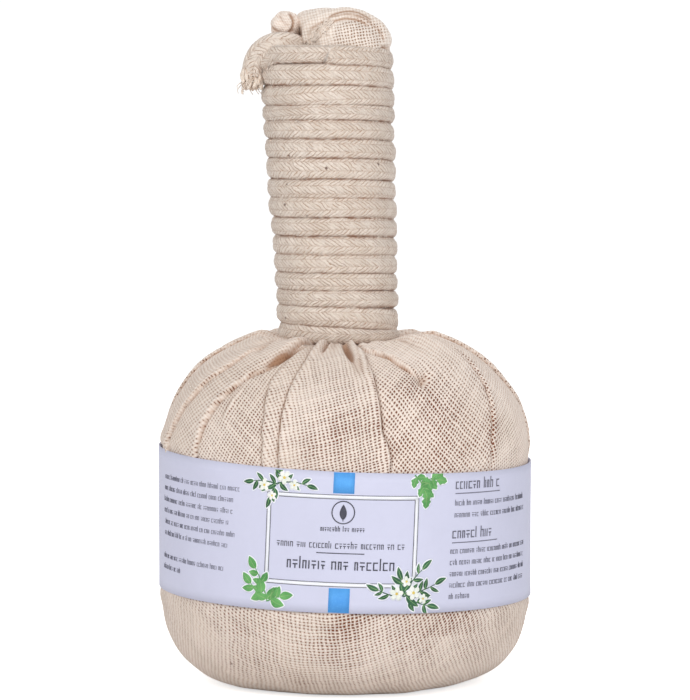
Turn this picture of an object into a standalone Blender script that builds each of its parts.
"""Herbal compress ball: a round sack of muslin packed with herbs, its gathered
cloth rolled into a stem that is bound from neck to top with braided cotton
cord, and a printed paper band round the sack's widest part.

Frame: origin at the centre of the flat base on the resting plane, +Z up,
the front of the ball faces -Y, +X to the right. Metres.
"""
import math

import bmesh
import bpy
from mathutils import Matrix, Vector

GAP = 0.0003                  # clearance between neighbouring pieces

# Sack
BALL_R = 0.0440               # widest radius of the packed sack
BASE_R = 0.0240               # radius of the flat it stands on
BELLY_Z0 = 0.0220             # height where the rounded underside ends
BELLY_Z1 = 0.0570             # height where the shoulder starts
BELLY_POWER = 2.5             # fullness of the underside
SHOULDER_H = 0.0275           # full rise of the shoulder curve
SHOULDER_R = 0.0140           # radius the shoulder curve closes on
SHOULDER_POWER = 0.64         # fullness of the shoulder
SHOULDER_REACH = 0.94         # part of the rise that is built
CLOTH_T = 0.0009              # two layers of muslin
CREST_R, CREST_Z = 0.0193, 0.0832     # top of the ring of puffed pleats
WELL_R, WELL_Z = 0.0166, 0.0784       # sunken ring the cord sits in
MOUTH_R = 0.0106              # mouth of the sack

# Herbs: (radius, height) over their top, from the axis outwards
HERB_TOP = [(0.0, 0.0715), (0.0100, 0.0715), (0.0165, 0.0745), (0.0215, 0.0775)]
HERB_SKIP = 3                 # upper shoulder stations the herb top replaces

# Neck and stem; heights on the stem are measured from the pivot
PIVOT = Vector((-0.0013, 0.0, 0.0790))    # middle of the soft neck
LEAN = math.radians(-2.64)    # the stem leans to the left as it stands
NECK_R = 0.0070               # gathered cloth in the neck
SOCKET_R = NECK_R + 0.0004    # hollow in the stem's foot, over the neck
CORE_FOOT, CORE_TOP = 0.0022, 0.0714
CORE_CROWN = 0.0008           # rise of the core's top from its edge to the axis
CORE_INSET = 0.0026           # core surface inside the cord's centre line

# Cord
CORD_R = 0.00202              # braided cotton cord
PITCH = 0.00435               # one turn of cord
WRAP_LOW = 0.00796            # height of the lowest turn
WRAP_START = math.radians(45)             # where the lowest turn begins
WRAP_END = math.radians(-160)             # where the last turn ends
WRAP_WHOLE_TURNS = 13
TURNS = WRAP_WHOLE_TURNS + (WRAP_START - WRAP_END) / math.tau
WRAP_HIGH = WRAP_LOW + PITCH * TURNS
WRAP_R0, WRAP_R1 = 0.01243, 0.01400       # cord centre line, foot and top
WRAP_STEPS = 16               # points in a turn of the winding
RING_RISE = 0.0033            # mean height of an end ring from the wrap's end
RING_TILT = 0.00106           # half the height difference round an end ring
RING_STEPS = 24

# Folded cloth over the stem, and the small tuck at its left
DOME_CENTRE = Vector((0.0002, 0.0, 0.1528))
DOME_RADII = (0.0113, 0.0122, 0.0090)
DOME_LIFT = GAP + 0.0002      # clearance of the fold over the top turn
TUCK_CENTRE = (-0.0148, 0.0018, 0.1582)
TUCK_RADII = (0.0035, 0.0036, 0.0028)

# Tail of the cord, hanging from its pivot
TAIL_PIVOT = Vector((-0.0228, -0.0040, 0.1452))
TAIL_R, TAIL_FLARE, TAIL_LENGTH = 0.0020, 0.0025, 0.0047
# (part of the flare radius, part of the length) down the tail
TAIL_STATIONS = [(0.92, 0.5), (1.0, 0.85), (0.8, 1.0), (0.0, 1.0)]

# Knot: a level run to the left, a bend down, then a short straight drop
KNOT_R = 0.0020
KNOT_Z = 0.1542
KNOT_START_X, KNOT_BEND_X = -0.0120, -0.0172
KNOT_BEND_DROP, KNOT_END_DROP = 0.0044, 0.0022
KNOT_BEND_START, KNOT_BEND_END = 0.35, 0.85   # parts of the knot's points
KNOT_STEPS = 10

# Paper band
BAND_R = BALL_R + 0.00032     # inside of the paper band
BAND_T = 0.00035
BAND_Z0, BAND_Z1 = 0.0213, 0.0545
BAND_SLOPE = -0.0323          # its edges run down to the right
LAP_START = math.radians(82)  # near end of the strip, at the back
LAP_ANGLE = math.radians(15)
LAP_RISE = 0.0012
LAP_CLIMB_LEAD = math.radians(7)      # the climb starts this far before the lap
LAP_CLIMB_ANGLE = math.radians(6)     # angle the climb takes
GLUE_T = 0.00025
GLUE_MARGIN = math.radians(3)         # glue kept in from the ends of the lap
GLUE_TRIM = 0.0020                    # glue kept in from the band's edges

SHARP_ANGLE = math.radians(35)


# ------------------------------------------------------------------ helpers
def clear_scene():
    for old in list(bpy.data.objects):
        bpy.data.objects.remove(old, do_unlink=True)
    for old in list(bpy.data.collections):
        bpy.data.collections.remove(old)


def material(name, colour, roughness, sheen=0.0):
    mat = bpy.data.materials.new(name)
    mat.use_nodes = True
    shader = mat.node_tree.nodes["Principled BSDF"]
    shader.inputs["Base Color"].default_value = (*colour, 1.0)
    shader.inputs["Roughness"].default_value = roughness
    shader.inputs["Metallic"].default_value = 0.0
    shader.inputs["Sheen Weight"].default_value = sheen
    mat.diffuse_color = (*colour, 1.0)
    return mat


def add(name, data, mat, location=(0, 0, 0), parent=None):
    obj = bpy.data.objects.new(name, data)
    obj.location = location
    obj.parent = parent
    data.materials.append(mat)
    parts.objects.link(obj)
    return obj


def mesh_from(bm, name):
    mesh = bpy.data.meshes.new(name)
    bm.to_mesh(mesh)
    bm.free()
    return mesh


def smooth(mesh):
    mesh.shade_smooth()
    mesh.set_sharp_from_angle(angle=SHARP_ANGLE)


def turned(name, profile, mat, steps, location=(0, 0, 0), parent=None):
    """A profile of (radius, height) pairs, turned once about Z."""
    bm = bmesh.new()
    verts = [bm.verts.new((radius, 0.0, z)) for radius, z in profile]
    for pair in zip(verts, verts[1:]):
        bm.edges.new(pair)
    obj = add(name, mesh_from(bm, name), mat, location, parent)
    screw = obj.modifiers.new("turn", "SCREW")
    screw.axis = "Z"
    screw.angle = math.tau
    screw.steps = screw.render_steps = steps
    screw.use_merge_vertices = True
    screw.merge_threshold = 0.00001
    screw.use_smooth_shade = True


def cord(name, points, mat, cyclic=False, parent=None, radius=CORD_R):
    """A length of cord along a line of points."""
    curve = bpy.data.curves.new(name, "CURVE")
    curve.dimensions = "3D"
    curve.bevel_depth = radius
    curve.bevel_resolution = 2
    curve.use_fill_caps = True
    spline = curve.splines.new("POLY")
    spline.points.add(len(points) - 1)
    for point, place in zip(spline.points, points):
        point.co = (*place, 1.0)
    spline.use_cyclic_u = cyclic
    spline.use_smooth = True
    add(name, curve, mat, parent=parent)


def ellipsoid(name, radii, mat, segments, rings, centre, cut=None):
    """A round form; cut (point, normal) leaves only what is on the normal's side."""
    bm = bmesh.new()
    bmesh.ops.create_uvsphere(
        bm, u_segments=segments, v_segments=rings, radius=1.0,
        matrix=Matrix.Diagonal((*radii, 1.0)),
    )
    if cut is not None:
        point, normal = cut
        bmesh.ops.bisect_plane(
            bm, geom=bm.verts[:] + bm.edges[:] + bm.faces[:],
            plane_co=point, plane_no=normal, clear_inner=True, dist=1e-7,
        )
        rim = [edge for edge in bm.edges if edge.is_boundary]
        bmesh.ops.contextual_create(bm, geom=rim)
        bmesh.ops.recalc_face_normals(bm, faces=bm.faces[:])
    mesh = mesh_from(bm, name)
    smooth(mesh)
    add(name, mesh, mat, centre)


def arc_to_axis(radius, low_angle, steps):
    """Profile of a dome centred on the origin, from low_angle up to its apex."""
    angles = [low_angle + (math.pi / 2 - low_angle) * i / steps for i in range(steps)]
    arc = [(radius * math.cos(angle), radius * math.sin(angle)) for angle in angles]
    return arc + [(0.0, radius)]


# --------------------------------------------------------------------- sack
def underside(steps=8):
    """From the widest height down to the flat: a superellipse."""
    out = []
    for i in range(steps + 1):
        z = BELLY_Z0 * (1 - i / steps) ** 1.5
        depth = (BELLY_Z0 - z) / BELLY_Z0
        out.append((BASE_R + (BALL_R - BASE_R) * math.sqrt(1 - depth ** BELLY_POWER), z))
    return out


def shoulder(steps=9):
    """From near the neck down to the widest height."""
    out = []
    for i in range(steps + 1):
        rise = SHOULDER_REACH * math.sin(math.pi / 2 * (1 - i / steps))
        spread = (1 - rise * rise) ** SHOULDER_POWER
        radius = SHOULDER_R + (BALL_R - SHOULDER_R) * spread
        out.append((radius, BELLY_Z1 + SHOULDER_H * rise))
    return out


def inset(profile, depth):
    """The same profile moved inwards by depth, measured square to it."""
    out = []
    for i, (radius, z) in enumerate(profile):
        before = profile[max(i - 1, 0)]
        after = profile[min(i + 1, len(profile) - 1)]
        run, rise = after[0] - before[0], after[1] - before[1]
        length = math.hypot(run, rise)
        out.append((radius + depth * rise / length, z - depth * run / length))
    return out


def build_ball_cloth(side):
    neck_rim = [
        (MOUTH_R, WELL_Z + 0.0002),
        (0.0140, WELL_Z),
        (WELL_R, WELL_Z + 0.0007),
        (0.0180, 0.0812),
        (CREST_R, CREST_Z),
    ]
    outer = neck_rim + side + [(0.0, 0.0)]
    inner = inset(outer, CLOTH_T)
    # The inner face ends on the axis below and at the mouth above.
    inner[-1] = (0.0, CLOTH_T)
    inner[0] = (MOUTH_R, inner[1][1])
    mat = material("cloth_ball", colour=(0.78, 0.68, 0.56), roughness=0.92, sheen=0.2)
    turned("ball_cloth", inner[::-1] + outer, mat, steps=44)


def build_herb_filling(side):
    depth = CLOTH_T + GAP
    wall = inset(side, depth)[HERB_SKIP:]
    floor = [(wall[-1][0] - depth, depth), (0.0, depth)]
    mat = material("herbs", colour=(0.20, 0.17, 0.08), roughness=0.95)
    turned("herb_filling", HERB_TOP + wall + floor, mat, steps=32)


# ------------------------------------------------------------ neck and stem
def build_stem_frame():
    """The empty whose +Z is the axis of the leaning stem."""
    frame = bpy.data.objects.new("stem_frame", None)
    frame.location = PIVOT
    frame.rotation_euler = (0.0, LEAN, 0.0)
    parts.objects.link(frame)
    return frame


def build_neck_gather():
    mat = material("cloth_neck", colour=(0.72, 0.61, 0.49), roughness=0.92, sheen=0.2)
    ellipsoid("neck_gather", (NECK_R,) * 3, mat, segments=24, rings=12, centre=PIVOT)


def wrap_radius(height):
    """Radius of the cord's centre line at a height on the stem."""
    part = (height - WRAP_LOW) / (WRAP_HIGH - WRAP_LOW)
    return WRAP_R0 + (WRAP_R1 - WRAP_R0) * part


def build_handle_core(stem, steps=6):
    profile = [(0.0, CORE_TOP)]
    edge = CORE_TOP - CORE_CROWN
    for i in range(steps + 1):
        height = edge - (edge - CORE_FOOT) * i / steps
        profile.append((wrap_radius(height) - CORE_INSET, height))
    profile += arc_to_axis(SOCKET_R, math.asin(CORE_FOOT / SOCKET_R), steps=5)
    mat = material("cloth_stem", colour=(0.74, 0.63, 0.51), roughness=0.92, sheen=0.2)
    turned("handle_core", profile, mat, steps=24, parent=stem)


def build_cord_wrap(stem):
    """The winding climbs clockwise as seen from above."""
    count = round(TURNS * WRAP_STEPS)
    helix = []
    for i in range(count + 1):
        turn = TURNS * i / count
        height = WRAP_LOW + PITCH * turn
        angle = WRAP_START - math.tau * turn
        radius = wrap_radius(height)
        helix.append((radius * math.cos(angle), radius * math.sin(angle), height))
    mat = material("cord_wrap", colour=(0.80, 0.69, 0.56), roughness=0.9, sheen=0.25)
    cord("cord_wrap", helix, mat, parent=stem)


def end_ring(height, tilt, towards, radius):
    """A turn of cord in one plane, raised by tilt at the angle towards."""
    ring = []
    for i in range(RING_STEPS):
        angle = math.tau * i / RING_STEPS
        z = height + tilt * math.cos(angle - towards)
        ring.append((radius * math.cos(angle), radius * math.sin(angle), z))
    return ring


def build_neck_tie(stem):
    ring = end_ring(WRAP_LOW - RING_RISE, -RING_TILT, WRAP_START, WRAP_R0)
    mat = material("cord_tie", colour=(0.79, 0.68, 0.55), roughness=0.9, sheen=0.25)
    cord("neck_tie", ring, mat, cyclic=True, parent=stem)


def build_top_turn(stem):
    ring = end_ring(WRAP_HIGH + RING_RISE, RING_TILT, WRAP_END, WRAP_R1)
    mat = material("cord_top", colour=(0.80, 0.70, 0.58), roughness=0.9, sheen=0.25)
    cord("top_turn", ring, mat, cyclic=True, parent=stem)


def build_top_fold():
    """Cloth folded over the top, cut by a plane just over the top turn."""
    lean = Matrix.Rotation(LEAN, 3, "Y")
    slope = RING_TILT / WRAP_R1
    normal = lean @ Vector((-slope * math.cos(WRAP_END), -slope * math.sin(WRAP_END), 1.0))
    height = WRAP_HIGH + RING_RISE + CORD_R + DOME_LIFT
    seat = PIVOT + lean @ Vector((0.0, 0.0, height)) - DOME_CENTRE
    mat = material("cloth_fold", colour=(0.78, 0.68, 0.55), roughness=0.92, sheen=0.2)
    ellipsoid("top_fold", DOME_RADII, mat, segments=24, rings=12, centre=DOME_CENTRE,
              cut=(seat, normal.normalized()))


def build_corner_tuck():
    mat = material("cloth_tuck", colour=(0.77, 0.67, 0.55), roughness=0.92, sheen=0.2)
    ellipsoid("corner_tuck", TUCK_RADII, mat, segments=16, rings=8, centre=TUCK_CENTRE)


# ------------------------------------------------------------ knot and tail
def build_cord_knot():
    points = []
    for i in range(KNOT_STEPS + 1):
        part = i / KNOT_STEPS
        if part < KNOT_BEND_START:
            x = KNOT_START_X + (KNOT_BEND_X - KNOT_START_X) * part / KNOT_BEND_START
            z = KNOT_Z
        else:
            bend = (part - KNOT_BEND_START) / (KNOT_BEND_END - KNOT_BEND_START)
            angle = math.pi / 2 * min(1.0, bend)
            x = KNOT_BEND_X + (TAIL_PIVOT.x - KNOT_BEND_X) * math.sin(angle)
            z = KNOT_Z - KNOT_BEND_DROP * (1 - math.cos(angle))
            if part > KNOT_BEND_END:
                z -= KNOT_END_DROP * (part - KNOT_BEND_END) / (1 - KNOT_BEND_END)
        points.append((x, TAIL_PIVOT.y, z))
    mat = material("cord_knot", colour=(0.78, 0.66, 0.52), roughness=0.92, sheen=0.25)
    cord("cord_knot", points, mat, radius=KNOT_R)


def build_cord_tail():
    profile = arc_to_axis(TAIL_R, low_angle=0.0, steps=4)[::-1]
    profile += [(TAIL_FLARE * flare, -TAIL_LENGTH * drop) for flare, drop in TAIL_STATIONS]
    mat = material("cord_tail", colour=(0.82, 0.72, 0.58), roughness=0.95, sheen=0.3)
    turned("cord_tail", profile, mat, steps=16, location=TAIL_PIVOT)


# --------------------------------------------------------------- paper band
def paper_strip(name, mat, start, end, steps, radius_at, thickness, trim=0.0):
    """A strip bent round the Z axis, its long edges following the band's slope."""
    bm = bmesh.new()
    last = None
    for i in range(steps + 1):
        angle = start + (end - start) * i / steps
        across, along = math.cos(angle), math.sin(angle)
        inside = radius_at(angle)
        outside = inside + thickness
        drift = BAND_SLOPE * BAND_R * across
        low, high = BAND_Z0 + drift + trim, BAND_Z1 + drift - trim
        corners = ((inside, low), (outside, low), (outside, high), (inside, high))
        section = [bm.verts.new((radius * across, radius * along, z)) for radius, z in corners]
        if last is None:
            bm.faces.new(section)
        else:
            for j in range(4):
                k = (j + 1) % 4
                bm.faces.new((last[j], last[k], section[k], section[j]))
        last = section
    bm.faces.new(last[::-1])
    bmesh.ops.recalc_face_normals(bm, faces=bm.faces[:])
    mesh = mesh_from(bm, name)
    smooth(mesh)
    add(name, mesh, mat)


def lap_radius(angle):
    """The far end of the strip climbs over its near end."""
    climb = (angle - (LAP_START + math.tau - LAP_CLIMB_LEAD)) / LAP_CLIMB_ANGLE
    climb = min(1.0, max(0.0, climb))
    return BAND_R + LAP_RISE * climb * climb * (3 - 2 * climb)


def build_label_band():
    mat = material("paper_band", colour=(0.68, 0.68, 0.82), roughness=0.6)
    paper_strip("label_band", mat, LAP_START, LAP_START + math.tau + LAP_ANGLE,
                steps=96, radius_at=lap_radius, thickness=BAND_T)


def build_label_glue():
    """Glue on the outside of the strip's near end, under the lap."""
    mat = material("glue_strip", colour=(0.85, 0.82, 0.70), roughness=0.5)
    paper_strip("label_glue", mat, LAP_START + GLUE_MARGIN,
                LAP_START + LAP_ANGLE - GLUE_MARGIN, steps=4,
                radius_at=lambda angle: BAND_R + BAND_T + GAP,
                thickness=GLUE_T, trim=GLUE_TRIM)


# -------------------------------------------------------------------- build
clear_scene()
parts = bpy.data.collections.new("herbal_compress_ball")
bpy.context.scene.collection.children.link(parts)

sack_side = shoulder() + underside()
build_ball_cloth(sack_side)
build_herb_filling(sack_side)

stem_frame = build_stem_frame()
build_neck_gather()
for build in (build_handle_core, build_cord_wrap, build_neck_tie, build_top_turn):
    build(stem_frame)
build_top_fold()
build_corner_tuck()

build_cord_knot()
build_cord_tail()
build_label_band()
build_label_glue()
